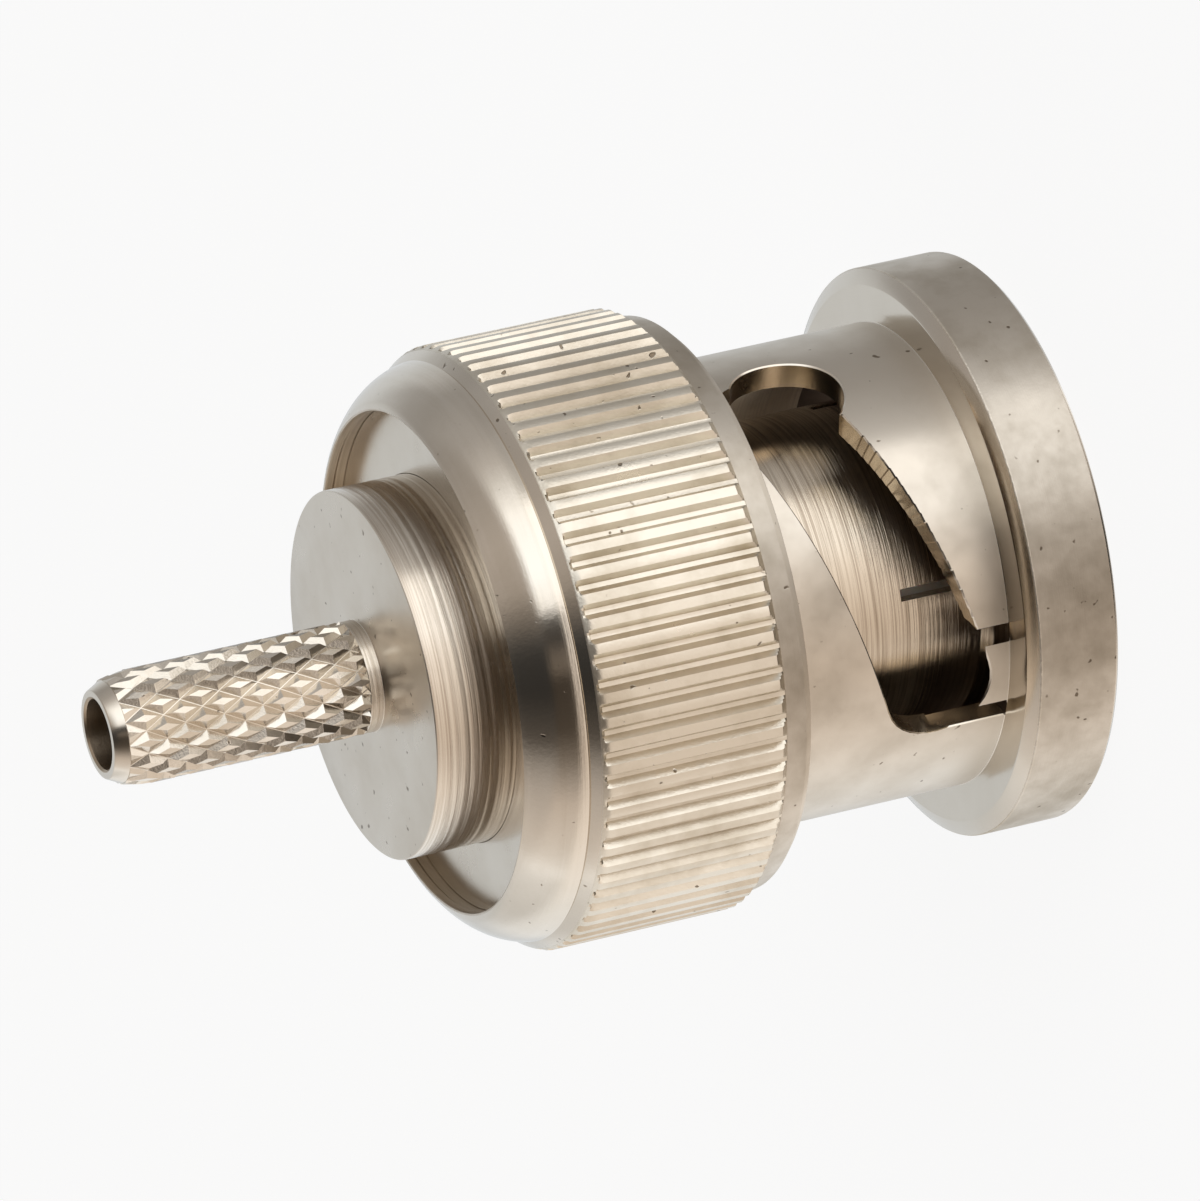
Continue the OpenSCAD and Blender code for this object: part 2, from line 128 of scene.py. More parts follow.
def nickel(name, roughness, across=0.0, line=0.05, cut=0.0, arc=0.6, grain=0.0,
           grain_mm=0.06, pits=0.0, colour="#D6CDC0", stain="#A8997F", stained=0.25,
           streak=0.0):
    """Bright nickel plate over turned brass. The lathe's marks run round the axis: line mm
    apart, cut mm deep, about 1/arc radian long; across spreads the shine over them. grain
    is the depth in mm of the plate's fine unevenness and grain_mm its size, pits the depth
    of scattered dents; stain is the tone of dull patches, and streak how far they follow
    the marks."""
    material, tree, shader = blank(name)
    place = add(tree, "ShaderNodeTexCoord").outputs["Object"]
    axes = add(tree, "ShaderNodeSeparateXYZ", {0: place})
    flat = add(tree, "ShaderNodeCombineXYZ", {0: axes.outputs[0], 1: axes.outputs[1]})
    radius = add(tree, "ShaderNodeVectorMath", {0: flat.outputs[0]}, operation="LENGTH")
    along = add(tree, "ShaderNodeMath", {0: radius.outputs["Value"], 1: axes.outputs[2]})
    facing = add(tree, "ShaderNodeVectorMath", {0: flat.outputs[0]}, operation="NORMALIZE")
    spread = add(tree, "ShaderNodeVectorMath", {0: facing.outputs[0], "Scale": arc},
                 operation="SCALE")
    height = add(tree, "ShaderNodeMath", {0: along.outputs[0], 1: 1 / (line * MM)},
                 operation="MULTIPLY")
    lift = add(tree, "ShaderNodeCombineXYZ", {2: height.outputs[0]})
    lathe = add(tree, "ShaderNodeVectorMath", {0: spread.outputs[0], 1: lift.outputs[0]})
    mark = add(tree, "ShaderNodeTexNoise", {"Vector": lathe.outputs[0], "Scale": 1.0,
                                            "Detail": 4, "Roughness": 0.65})
    # patches where the plate has dulled, partly drawn out along the marks
    patch = add(tree, "ShaderNodeTexNoise", {"Vector": place, "Scale": 420, "Detail": 5,
                                             "Roughness": 0.65})
    drawn = add(tree, "ShaderNodeMix", {0: streak, 2: patch.outputs[0], 3: mark.outputs[0]})
    dull = add(tree, "ShaderNodeMapRange", {"Value": drawn.outputs[0], "From Min": 0.45,
                                            "From Max": 0.72, "To Max": stained})
    paint = add(tree, "ShaderNodeMix", {0: dull.outputs[0], 6: linear(colour),
                                        7: linear(stain)}, data_type="RGBA")
    tone = paint.outputs[2]
    rough = add(tree, "ShaderNodeMapRange", {"Value": drawn.outputs[0], "From Min": 0.3,
                                             "From Max": 0.7, "To Min": roughness * 0.8,
                                             "To Max": roughness * 1.25})
    shader.inputs["Metallic"].default_value = 1.0
    tree.links.new(rough.outputs[0], shader.inputs["Roughness"])
    if across:
        shader.inputs["Anisotropic"].default_value = across
        shader.inputs["Anisotropic Rotation"].default_value = 0.25
        turn = add(tree, "ShaderNodeTangent", direction_type="RADIAL", axis="Z")
        tree.links.new(turn.outputs[0], shader.inputs["Tangent"])
    bumps = []
    if cut:
        bumps.append((mark.outputs[0], cut))
    if grain:
        speck = add(tree, "ShaderNodeTexNoise", {"Vector": place, "Scale": 1 / (grain_mm * MM),
                                                 "Detail": 2, "Roughness": 0.6})
        bumps.append((speck.outputs[0], grain))
    if pits:
        # dents from handling, a few tenths of a millimetre apart, coloured darker inside
        cell = add(tree, "ShaderNodeTexNoise", {"Vector": place, "Scale": 4200, "Detail": 1})
        dent = add(tree, "ShaderNodeMapRange", {"Value": cell.outputs[0], "From Min": 0.745,
                                                "From Max": 0.79, "To Min": 1, "To Max": 0})
        darker_in_dents = add(tree, "ShaderNodeMix", {0: dent.outputs[0], 6: linear("#85796A"), 7: tone},
                   data_type="RGBA")
        tone = darker_in_dents.outputs[2]
        bumps.append((dent.outputs[0], pits))
    tree.links.new(tone, shader.inputs["Base Color"])
    normal = {}
    for level, depth in bumps:
        bump = add(tree, "ShaderNodeBump", {"Height": level, "Distance": depth * MM, **normal})
        normal = {"Normal": bump.outputs[0]}
    if normal:
        tree.links.new(normal["Normal"], shader.inputs["Normal"])
    return material


FINISH = {
    # the rim's outside: fine turning marks, a satin streak that follows the light
    "brushed": nickel("brushed nickel plate", 0.5, across=0.9, line=0.05, cut=0.0030,
                      grain=0.0016, grain_mm=0.05, pits=0.004, stained=0.35),
    # faces cut by a sharp tool: nearly a mirror, with fine rings
    "faced": nickel("faced nickel plate", 0.16, line=0.05, cut=0.0004, stained=0.1),
    # the hub's end: a mirror gone soft, with a few dents
    "disc": nickel("lapped nickel plate", 0.30, line=0.06, cut=0.0003, pits=0.003,
                   stained=0.1),
    # the sleeve: drawn smooth, its shine spread along the axis
    "sleeve": nickel("satin nickel plate", 0.40, across=0.88, line=0.05, cut=0.0010,
                     grain=0.0003, pits=0.001, stained=0.15),
    # the straight knurl: coarse plate with chatter and dents on the crests
    "knurl": nickel("knurled nickel plate", 0.34, grain=0.0050, grain_mm=0.07,
                    pits=0.012, colour="#D8D0C2", stained=0.5),
    # the dome behind it: spun over a roller, bright with drawn-out scratches
    "rolled": nickel("burnished nickel plate", 0.13, line=0.10, cut=0.0035, arc=1.2,
                     grain=0.0012, grain_mm=0.12, pits=0.004, stained=0.25, streak=0.5),
    # inside the nut: a plain bored wall
    "bore": nickel("bored nickel plate", 0.35, across=0.6, line=0.06, cut=0.0030,
                   colour="#B5A590", stain="#7A6654", stained=0.6, streak=0.6),
    # deep in the rim: a dark brown tone painted on as shade in the recess
    "deep": nickel("nickel plate painted dark as shade", 0.45, line=0.06, cut=0.002,
                   colour="#5A4A3C", stain="#382C22", stained=0.8),
    # walls left by the end mill
    "milled": nickel("milled nickel plate", 0.24, line=0.08, cut=0.003, grain=0.001,
                     colour="#CFC1AA", stain="#A88F70", stained=0.5),
    # the pinched edge of the dome and the rim's rear corner
    "lip": nickel("rough nickel edge", 0.4, grain=0.02, grain_mm=0.10, pits=0.01,
                  stained=0.6),
    # the hub's side: coarse lathe marks, brown in their hollows
    "hub": nickel("turned nickel plate", 0.22, across=0.5, line=0.06, cut=0.0060,
                  stain="#8A7258", stained=0.5, streak=0.9),
    # the stem's diamonds: pressed, bright on their flanks
    "diamond": nickel("pressed nickel plate", 0.22, grain=0.0030, grain_mm=0.06,
                      pits=0.004, colour="#DAD2C6"),
    # the spring fingers: bright rings between dark ones
    "finger": nickel("contact nickel plate", 0.22, line=0.05, cut=0.0090,
                     colour="#CBBFAE", stain="#6E5A46", stained=0.8, streak=0.9),
    "washer": nickel("pressed nickel washer", 0.24, grain=0.0012, grain_mm=0.08,
                     stained=0.1),
}


def gold_plate():
    # thin hard gold over nickel: a warm, slightly soft mirror
    material, tree, shader = blank("gold plate")
    place = add(tree, "ShaderNodeTexCoord").outputs["Object"]
    speck = add(tree, "ShaderNodeTexNoise", {"Vector": place, "Scale": 9000, "Detail": 2})
    tone = add(tree, "ShaderNodeMix", {0: speck.outputs[0], 6: linear("#E8C16A"),
                                       7: linear("#D2A550")}, data_type="RGBA")
    tree.links.new(tone.outputs[2], shader.inputs["Base Color"])
    shader.inputs["Metallic"].default_value = 1.0
    shader.inputs["Roughness"].default_value = 0.2
    bump = add(tree, "ShaderNodeBump", {"Height": speck.outputs[0], "Distance": 0.0008 * MM})
    tree.links.new(bump.outputs[0], shader.inputs["Normal"])
    return material


def ptfe():
    # turned PTFE rod: waxy white that lets a little light in
    material, tree, shader = blank("turned PTFE")
    place = add(tree, "ShaderNodeTexCoord").outputs["Object"]
    cloud = add(tree, "ShaderNodeTexNoise", {"Vector": place, "Scale": 1500, "Detail": 3})
    tone = add(tree, "ShaderNodeMix", {0: cloud.outputs[0], 6: linear("#F4F2EC"),
                                       7: linear("#E9E5DB")}, data_type="RGBA")
    tree.links.new(tone.outputs[2], shader.inputs["Base Color"])
    shader.inputs["Roughness"].default_value = 0.45
    shader.inputs["IOR"].default_value = 1.36
    shader.inputs["Subsurface Weight"].default_value = 0.2
    shader.inputs["Subsurface Scale"].default_value = 0.4 * MM
    bump = add(tree, "ShaderNodeBump", {"Height": cloud.outputs[0], "Distance": 0.004 * MM})
    tree.links.new(bump.outputs[0], shader.inputs["Normal"])
    return material


def silicone():
    # moulded silicone rubber: soft, dull red-brown
    material, tree, shader = blank("moulded silicone")
    place = add(tree, "ShaderNodeTexCoord").outputs["Object"]
    cloud = add(tree, "ShaderNodeTexNoise", {"Vector": place, "Scale": 3000, "Detail": 3})
    tone = add(tree, "ShaderNodeMix", {0: cloud.outputs[0], 6: linear("#B4503C"),
                                       7: linear("#9C4232")}, data_type="RGBA")
    tree.links.new(tone.outputs[2], shader.inputs["Base Color"])
    shader.inputs["Roughness"].default_value = 0.6
    shader.inputs["IOR"].default_value = 1.41
    return material


def bronze():
    # rolled spring bronze under a thin nickel wash: warm grey with rolling marks
    material, tree, shader = blank("rolled spring bronze")
    place = add(tree, "ShaderNodeTexCoord").outputs["Object"]
    roll = add(tree, "ShaderNodeMapping", {0: place, "Scale": (1, 12, 1)})
    streak = add(tree, "ShaderNodeTexNoise", {"Vector": roll.outputs[0], "Scale": 1500,
                                              "Detail": 3})
    tone = add(tree, "ShaderNodeMix", {0: streak.outputs[0], 6: linear("#B9A078"),
                                       7: linear("#9C8460")}, data_type="RGBA")
    tree.links.new(tone.outputs[2], shader.inputs["Base Color"])
    shader.inputs["Metallic"].default_value = 1.0
    shader.inputs["Roughness"].default_value = 0.3
    return material


GOLD, PTFE, RUBBER, BRONZE = gold_plate(), ptfe(), silicone(), bronze()


# ---- shaping ----
def turned(outline, steps):
    """Turns a closed outline of (radius, height) corners in mm round the axis. A third
    number on a corner is how far it is eased."""
    bm = bmesh.new()
    corners = [bm.verts.new((c[0] * MM, 0, c[1] * MM)) for c in outline]
    for a, b in zip(corners, corners[1:] + corners[:1]):
        bm.edges.new((a, b))
    for ease in sorted({c[2] for c in outline if len(c) > 2}):
        soft = [v for v, c in zip(corners, outline) if c[2:] == (ease,)]
        bmesh.ops.bevel(bm, geom=soft, offset=ease * MM, offset_type="OFFSET", segments=3,
                        profile=0.5, affect="VERTICES", material=-1)
    bmesh.ops.spin(bm, geom=bm.verts[:] + bm.edges[:], axis=(0, 0, 1), cent=(0, 0, 0),
                   angle=2 * pi, steps=steps, use_merge=True)
    bmesh.ops.remove_doubles(bm, verts=bm.verts[:], dist=1e-7)
    bmesh.ops.recalc_face_normals(bm, faces=bm.faces[:])
    return bm


def loft(bm, loops):
    """Joins closed loops of places in order and closes both ends."""
    rings = []
    for places in loops:
        verts = [bm.verts.new(p) for p in places]
        rings.append([bm.edges.new((a, b)) for a, b in zip(verts, verts[1:] + verts[:1])])
    for near, far in zip(rings, rings[1:]):
        bmesh.ops.bridge_loops(bm, edges=near + far)
    for ring in (rings[0], rings[-1]):
        bmesh.ops.contextual_create(bm, geom=ring)
    bmesh.ops.recalc_face_normals(bm, faces=bm.faces[:])


def on_sleeve(angle, out, side, height):
    """A place under a tool that points at the axis: out from it, beside it, and up."""
    a = radians(angle)
    return Vector((out * cos(a) - side * sin(a), out * sin(a) + side * cos(a), height)) * MM


def reach(side, drop=0.0):
    """How far out the sleeve's skin, less drop, lies beside the tool's axis."""
    return sqrt((SLEEVE_R - drop) ** 2 - side * side)


def piece(name, bm, materials, rule=None, sharp=26):
    """Makes the object: rule gives each face its finish, and edges over sharp degrees
    stay crisp."""
    for face in bm.faces:
        face.smooth = True
        if rule:
            face.material_index = rule(face)
    for edge in bm.edges:
        edge.smooth = len(edge.link_faces) == 2 and edge.calc_face_angle(0) < radians(sharp)
    mesh = bpy.data.meshes.new(name)
    bm.to_mesh(mesh)
    bm.free()
    for material in materials:
        mesh.materials.append(material)
    obj = bpy.data.objects.new(name, mesh)
    scene.collection.objects.link(obj)
    return obj


def carve(bm, cutters):
    """Takes each closed cutter away from the body."""
    body = piece("blank", bm, [])
    for cutter in cutters:
        tool = piece("cutter", cutter, [])
        cut = body.modifiers.new("cut", "BOOLEAN")
        cut.operation, cut.solver, cut.object = "DIFFERENCE", "EXACT", tool
    done = body.evaluated_get(bpy.context.evaluated_depsgraph_get())
    result = bmesh.new()
    result.from_mesh(done.to_mesh())
    for obj in [body] + [m.object for m in body.modifiers]:
        bpy.data.objects.remove(obj)
    return result


# ---- coupling nut ----
def dome(degree):
    return (DOME_AT_R + DOME_R * cos(radians(degree)), DOME_AT_Z + DOME_R * sin(radians(degree)))


nut_outline = (
    [(BORE_R, 0.15), (BORE_R + 0.15, 0, 0.02), (RIM_R - 0.12, 0, 0.02), (RIM_R, 0.12, 0.03)]
    + [(RIM_R, z) for z in (0.6, 1.1, 1.6)]
    + [(RIM_R, 2.05, 0.03), (6.5, RIM_LEN, 0.02), (5.9, RIM_LEN), (SLEEVE_R, RIM_LEN, 0.03)]
    + [(SLEEVE_R, 2.6 + 0.5 * i) for i in range(11)]
    + [(SLEEVE_R, COLLAR_Z, 0.03), (6.7, COLLAR_Z, 0.03), (6.93, 8.08, 0.03), (7.03, 8.62),
       (ROOT_R, 8.64), (7.11, 8.69), (7.17, 8.75), (CREST_R, CREST_Z0)]
    + [(CREST_R, CREST_Z0 + 0.45 * i) for i in range(1, 10)]
    + [(CREST_R, CREST_Z1), (7.235, 13.18), (7.205, 13.24), (7.18, 13.29), (7.165, 13.32, 0.02),
       (6.955, 13.53), (6.925, 13.55)]
    + [dome(11.2 + 3.2 * i) for i in range(15)]
    + [(SEATED_R, NUT_LEN - 0.005), (6.01, NUT_LEN - 0.02), (LIP_R, NUT_LEN - 0.1),
       (LIP_R, NUT_LEN - 0.2), (SEATED_R, NUT_LEN - 0.28), (SEATED_R, WASHER_Z),
       (SPRING_R, WASHER_Z), (SPRING_R, SEAT_Z), (BORE_R, SEAT_Z)]
    + [(BORE_R, z) for z in (9.0, 7.0, 5.0, 3.0, 1.5)]
)
DEPTHS = (0, 0, 0.04, 0.5, 0.97, 1, 0.97, 0.5, 0.04, 0)   # a tooth's section, crest first


def knurl(bm):
    """Presses the teeth into the collar; each tooth varies a little, as a worn wheel's do."""
    chance = Random(4)
    teeth = [(chance.uniform(-0.012, 0.006), chance.uniform(0.96, 1.02),
              chance.uniform(-0.03, 0.03)) for _ in range(TEETH)]
    for v in bm.verts:
        r, z = v.co.xy.length / MM, v.co.z / MM
        if not (8.63 < z < 13.34 and r > ROOT_R - 0.01):
            continue
        step = round(atan2(v.co.y, v.co.x) / (2 * pi) * STEPS)
        tooth, part = (step + 4) // FACETS % TEETH, step % FACETS
        crest, deep, end = teeth[tooth]
        fade = min(1.0, max(0.0, (13.29 + end - z) / 0.09))
        floor = CREST_R - (CREST_R - ROOT_R) * DEPTHS[part] * deep * fade
        wide = min(r + (crest if 8.8 < z < 13.2 else 0), floor)
        v.co.xy *= wide / r


INSIDE = 4.5                          # the cutters start well inside the bore
FLARES = ((None, 0.0), (0.035, 0.0), (-0.08, 0.115))
# from the inside out: how far under the sleeve's skin, and how much wider, a cutter is


def slot_tool(at):
    """The cam slot's cutter: the mill's ends are round and it climbs as the nut turns."""
    chance = Random(7)
    half = SLOT_W / 2
    arc = pi * 2 * SLEEVE_R * SLOT_TURN / 360
    lean = atan2(SLOT_RISE, arc)
    per_mm = degrees(1 / SLEEVE_R)
    stations = []
    for i in range(9):
        t = radians(2 + 88 * i / 8)
        stations.append((-half * cos(t), half * sin(t), half * sin(t)))
    length, facet = hypot(arc, SLOT_RISE), 0.255
    for i in range(1, int(length / facet)):
        # the wheel leaves a row of small flats on the wall towards the rim
        stations.append((i * facet, half, half + chance.uniform(0, 0.006)))
        stations.append(((i + 0.85) * facet, half, half + chance.uniform(0.012, 0.030)))
    for i in range(9):
        t = radians(90 - 88 * i / 8)
        stations.append((length + half * cos(t), half * sin(t), half * sin(t)))
    loops = []
    for s, upper, lower in stations:
        angle = at + s * cos(lean) * per_mm
        height = SLOT_Z + s * sin(lean)
        loop = []
        for width, sign in ((upper, 1), (lower, -1)):
            rows = []
            for out, flare in FLARES:
                d = (width + flare) * sign
                side, up = -d * sin(lean), d * cos(lean)
                far = INSIDE if out is None else reach(side, out)
                rows.append(on_sleeve(angle, far, side, height + up))
            loop += rows if sign > 0 else rows[::-1]
        loops.append(loop)
    bm = bmesh.new()
    loft(bm, loops)
    return bm


def detent_tool(at):
    """The round hole at the slot's end, where the socket's lug comes to rest."""
    loops = []
    for out, flare in FLARES:
        loop = []
        for i in range(64):
            t = 2 * pi * i / 64
            side, up = (DETENT_R + flare) * cos(t), (DETENT_R + flare) * sin(t)
            far = INSIDE if out is None else reach(side, out)
            loop.append(on_sleeve(at, far, side, DETENT_Z + up))
        loops.append(loop)
    bm = bmesh.new()
    loft(bm, loops)
    return bm


def keyway_tools(at):
    """The straight way in for the lug: under the rim, and then open through the sleeve."""
    half = KEY_W / 2
    edge = degrees(atan2(half, sqrt(KEY_R ** 2 - half ** 2)))
    under = [(INSIDE, -half)]
    under += [(KEY_R * cos(radians(t)), KEY_R * sin(radians(t)))
              for t in (edge * (i / 6 - 1) for i in range(13))]
    under += [(INSIDE, half)]
    (_, (deep, _), (over, flare)) = FLARES
    open_way = [(INSIDE, -half), (reach(half, deep), -half), (reach(half, over), -half - flare),
                (reach(half, over), half + flare), (reach(half, deep), half), (INSIDE, half)]
    tools = []
    for section, low, high in ((under, -1, RIM_LEN + 0.01), (open_way, RIM_LEN + 0.004, SLOT_Z)):
        bm = bmesh.new()
        loft(bm, [[on_sleeve(at, x, y, z) for x, y in section] for z in (low, high)])
        tools.append(bm)
    return tools


NUT_FINISH = ["brushed", "faced", "sleeve", "knurl", "rolled", "bore", "milled", "lip", "deep"]


def nut_finish(face):
    """Which finish a place on the nut has."""
    at = face.calc_center_median()
    r, z = at.xy.length / MM, at.z / MM
    outward = face.normal.xy.dot(at.xy.normalized())
    # the rim's inside and the keyway under it take the painted shade
    if z < 2.3 and r < 5.605:
        kind = "deep"
    elif r < 5.05 or (z > 11 and r < 5.6) or (z > 13.4 and outward < -0.5):
        kind = "bore"
    elif r > 6.8 and 2.01 < z < 2.09:
        kind = "lip"
    elif z < RIM_LEN + 0.02:
        kind = "brushed" if r > 6.85 else "faced" if r > 5.61 or z < 0.1 else "milled"
    elif r < 5.63 and z < COLLAR_Z - 0.02:
        kind = "sleeve" if outward > 0.9 else "faced" if outward > 0.4 else "milled"
    elif z < 7.9 or z < 8.62 and r < 7.0:
        kind = "faced" if z < 7.9 else "brushed"
    elif z < 13.34:
        kind = "knurl"
    else:
        kind = "lip" if z > NUT_LEN - 0.03 or r < 6.03 else "rolled"
    return NUT_FINISH.index(kind)


bm = turned(nut_outline, STEPS)
knurl(bm)
tools = []
for turn in (0, 180):
    tools += keyway_tools(SLOT_AT + turn)
    tools += [slot_tool(SLOT_AT + turn), detent_tool(DETENT_AT + turn)]
bm = carve(bm, tools)
nut = piece("nut_shell", bm, [FINISH[k] for k in NUT_FINISH], nut_finish)
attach(nut, "nut")
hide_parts("coupling_nut")


# ---- washer that holds the nut on the plug ----
bm = turned([(WASHER_IN_R, WASHER_Z), (WASHER_R, WASHER_Z, 0.04),
             (WASHER_R, WASHER_TOP, 0.02), (5.3, WASHER_TOP),
             (WASHER_IN_R, WASHER_TOP, 0.01)], 256)
washer = piece("retaining_ring", bm, [FINISH["washer"]])
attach(washer, "nut")
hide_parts("retaining_washer")


# ---- plug body: flange, hub, neck, diamond knurl and tip ----
BODY_FINISH = ["hub", "disc", "bore", "faced"]


def body_finish(face):
    at = face.calc_center_median()
    r, z = at.xy.length / MM, at.z / MM
    kind = "hub"
    if r < 0.9 or z < WASHER_Z:
        kind = "bore"
    elif HUB_TOP - 0.03 < z < HUB_TOP + 0.01 and r > 1.4:
        kind = "disc"
    elif z > 22.0:
        kind = "faced"
    return BODY_FINISH.index(kind)


def hub_marks():
    """Coarse lathe marks on the hub: deep by the washer, dying out towards its end."""
    chance = Random(11)
    marks, z = [], 14.42
    while z < 15.95:
        deep = 0.016 * (15.95 - z) / 1.5 + 0.002
        marks.append((HUB_R - chance.uniform(0, deep), z))
        z += chance.uniform(0.035, 0.075)
    return marks


bm = turned([(TAIL_R, SEAT_Z), (FLANGE_R, SEAT_Z, 0.04), (FLANGE_R, FLANGE_TOP, 0.03),
             (HUB_R, FLANGE_TOP), (HUB_R, 13.6), (HUB_R, 14.36)] + hub_marks()
            + [(HUB_R, HUB_TOP, 0.05), (2.6, HUB_TOP), (NECK_R, HUB_TOP, 0.03),
               (NECK_R, KNURL_Z0, 0.02), (GROOVED_R, KNURL_Z0 + 0.03),
               (GROOVED_R, KNURL_Z1 - 0.03), (1.22, KNURL_Z1, 0.01), (TIP_R, STEM_TOP, 0.03),
               (STEM_BORE + 0.05, STEM_TOP, 0.01), (STEM_BORE, STEM_TOP - 0.05),
               (STEM_BORE, 19.0), (STEM_BORE, CORE_TOP), (CORE_R, CORE_TOP),
               (CORE_R, TAIL_TOP), (TAIL_R, TAIL_TOP)], 360)


def diamonds(bm):
    """Two hands of grooves cross on the stem and leave rows of four-sided points."""
    turn, rise = 180 / STARTS, DIAMOND_Z / 2
    rows = 34
    grid = bmesh.ops.create_grid(bm, x_segments=STARTS, y_segments=rows, size=0.5)["verts"]
    for v in grid:
        u = round((v.co.x + 0.5) * STARTS)
        w = round((v.co.y + 0.5) * rows) - STARTS - 3
        a = radians(CROSS_AT + turn * (u - w))
        z = CROSS_Z + rise - rise * (u + w)
        v.co = Vector((GROOVE_R * cos(a), GROOVE_R * sin(a), z)) * MM
    bmesh.ops.remove_doubles(bm, verts=grid, dist=1e-6)
    faces = bm.faces[:]
    bmesh.ops.recalc_face_normals(bm, faces=faces)
    if sum(f.normal.dot(f.calc_center_median() * Vector((1, 1, 0))) for f in faces) < 0:
        bmesh.ops.reverse_faces(bm, faces=faces)
    bmesh.ops.inset_individual(bm, faces=faces, thickness=0.014 * MM, depth=0)
    bmesh.ops.inset_individual(bm, faces=faces, thickness=0.175 * MM, depth=0.132 * MM)
    for height, side in ((KNURL_Z0, -1), (KNURL_Z1, 1)):
        bmesh.ops.bisect_plane(bm, geom=bm.verts[:] + bm.edges[:] + bm.faces[:], dist=1e-8,
                               plane_co=(0, 0, height * MM), plane_no=(0, 0, side),
                               clear_outer=True)
    for v in bm.verts:
        cone = (DIAMOND_R - TAPER * max(0, v.co.z / MM - TAPER_Z)) * MM
        if v.co.xy.length > cone:
            v.co.xy *= cone / v.co.xy.length
    rim = [e for e in bm.edges if e.is_boundary]
    new = bmesh.ops.extrude_edge_only(bm, edges=rim)["geom"]
    for v in new:
        if isinstance(v, bmesh.types.BMVert):
            v.co.xy *= 1.1 * MM / v.co.xy.length
    inner = [e for e in new if isinstance(e, bmesh.types.BMEdge) and e.is_boundary]
    bmesh.ops.bridge_loops(bm, edges=inner)
    bmesh.ops.recalc_face_normals(bm, faces=bm.faces[:])


body = piece("plug_shell", bm, [FINISH[k] for k in BODY_FINISH], body_finish)
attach(body, "plug")
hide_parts("crimp_body")

bm = bmesh.new()
diamonds(bm)
stem = piece("stem_knurl", bm, [FINISH["diamond"]], sharp=20)
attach(stem, "plug")


# ---- spring fingers that touch inside the socket ----
bm = turned([(FINGER_IN_R, FINGER_Z), (3.8, FINGER_Z, 0.05), (BEAD_R, 0.95, 0.12),
             (BEAD_R, BEAD_Z, 0.05), (FINGER_R, 2.19, 0.03), (FINGER_R, 3.6),
             (FINGER_R, 5.4), (FINGER_R, 8.0), (FINGER_R, SEAT_Z), (TAIL_R, SEAT_Z),
             (TAIL_R, TAIL_TOP), (CORE_R, TAIL_TOP), (CORE_R, 4.6), (FINGER_IN_R, 4.4)], 256)
slits = []
for turn in (0, 180, 90, 270):
    half = SLIT_W / 2
    cutter = bmesh.new()
    loft(cutter, [[on_sleeve(SLITS_AT + turn, x, y, z)
                   for x, y in ((3.0, -half), (4.6, -half), (4.6, half), (3.0, half))]
                  for z in (0, SLIT_TOP)])
    slits.append(cutter)
contact = piece("finger_contact", carve(bm, slits), [FINISH["finger"]])
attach(contact, "plug")
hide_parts("outer_contact")


# ---- insulator, centre pin and gasket ----
bm = turned([(CAVITY_R, CORE_Z, 0.04), (CORE_R, CORE_Z, 0.06), (CORE_R, JOINT_Z),
             (PIN_COLLAR_R, JOINT_Z), (PIN_COLLAR_R, PIN_COLLAR_Z), (SHANK_R, PIN_COLLAR_Z),
             (SHANK_R, CAVITY_TOP), (CAVITY_R, CAVITY_TOP)], 192)
insulator = piece("mouth_insulator", bm, [PTFE])
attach(insulator, "plug")
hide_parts("front_insulator")

bm = turned([(0, PIN_Z), (0.225, PIN_Z, 0.03), (0.6, 1.71, 0.08), (PIN_R, 1.95, 0.05),
             (PIN_R, CAVITY_TOP), (SHANK_R, CAVITY_TOP), (SHANK_R, PIN_COLLAR_Z),
             (PIN_COLLAR_R, PIN_COLLAR_Z), (PIN_COLLAR_R, JOINT_Z), (BARREL_R, JOINT_Z),
             (BARREL_R, BARREL_TOP, 0.03), (WIRE_R, BARREL_TOP, 0.03), (WIRE_R, WIRE_Z),
             (0, WIRE_Z)], 96)
hole = bmesh.new()
loft(hole, [[Vector((x, PEEP_R * cos(t), PEEP_Z + PEEP_R * sin(t))) * MM
             for t in (2 * pi * i / 24 for i in range(24))] for x in (0, 1.4)])
pin = piece("centre_pin", carve(bm, [hole]), [GOLD])
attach(pin, "plug")
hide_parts("centre_contact")

bm = turned([(SEAL_IN_R, SEAL_Z, 0.08), (SEAL_R, SEAL_Z, 0.15), (SEAL_R, SEAT_Z, 0.05),
             (SEAL_IN_R, SEAT_Z, 0.05)], 160)
seal = piece("face_gasket", bm, [RUBBER])
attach(seal, "plug")
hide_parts("gasket")


# ---- finishes of the parts that stay hidden inside ----
for name, material in (("wave_washer_front", BRONZE), ("wave_washer_rear", BRONZE),
                       ("thrust_washer", FINISH["washer"]), ("rear_insulator", PTFE)):
    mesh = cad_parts[name].data
    mesh.materials.clear()
    mesh.materials.append(material)


# ---- floor, room and lamp ----
FLOOR_GLOW = 0.88       # share of plain white that the camera sees; the rest takes the shadow
bpy.ops.mesh.primitive_plane_add(size=4, location=(0, 0, 0))
floor = bpy.context.object
floor.name = "floor"
paper, tree, shader = blank("white paper")
shader.inputs["Base Color"].default_value = linear("#FFFFFF")
shader.inputs["Roughness"].default_value = 0.9
seen = add(tree, "ShaderNodeLightPath").outputs["Is Camera Ray"]
glow = add(tree, "ShaderNodeEmission", {"Color": (1, 1, 1, 1), "Strength": 1.0})
part = add(tree, "ShaderNodeMath", {0: seen, 1: FLOOR_GLOW}, operation="MULTIPLY")
both = add(tree, "ShaderNodeMixShader", {0: part.outputs[0], 1: shader.outputs[0],
                                         2: glow.outputs[0]})
tree.links.new(both.outputs[0], tree.nodes["Material Output"].inputs[0])
floor.data.materials.append(paper)
floor.visible_glossy = False

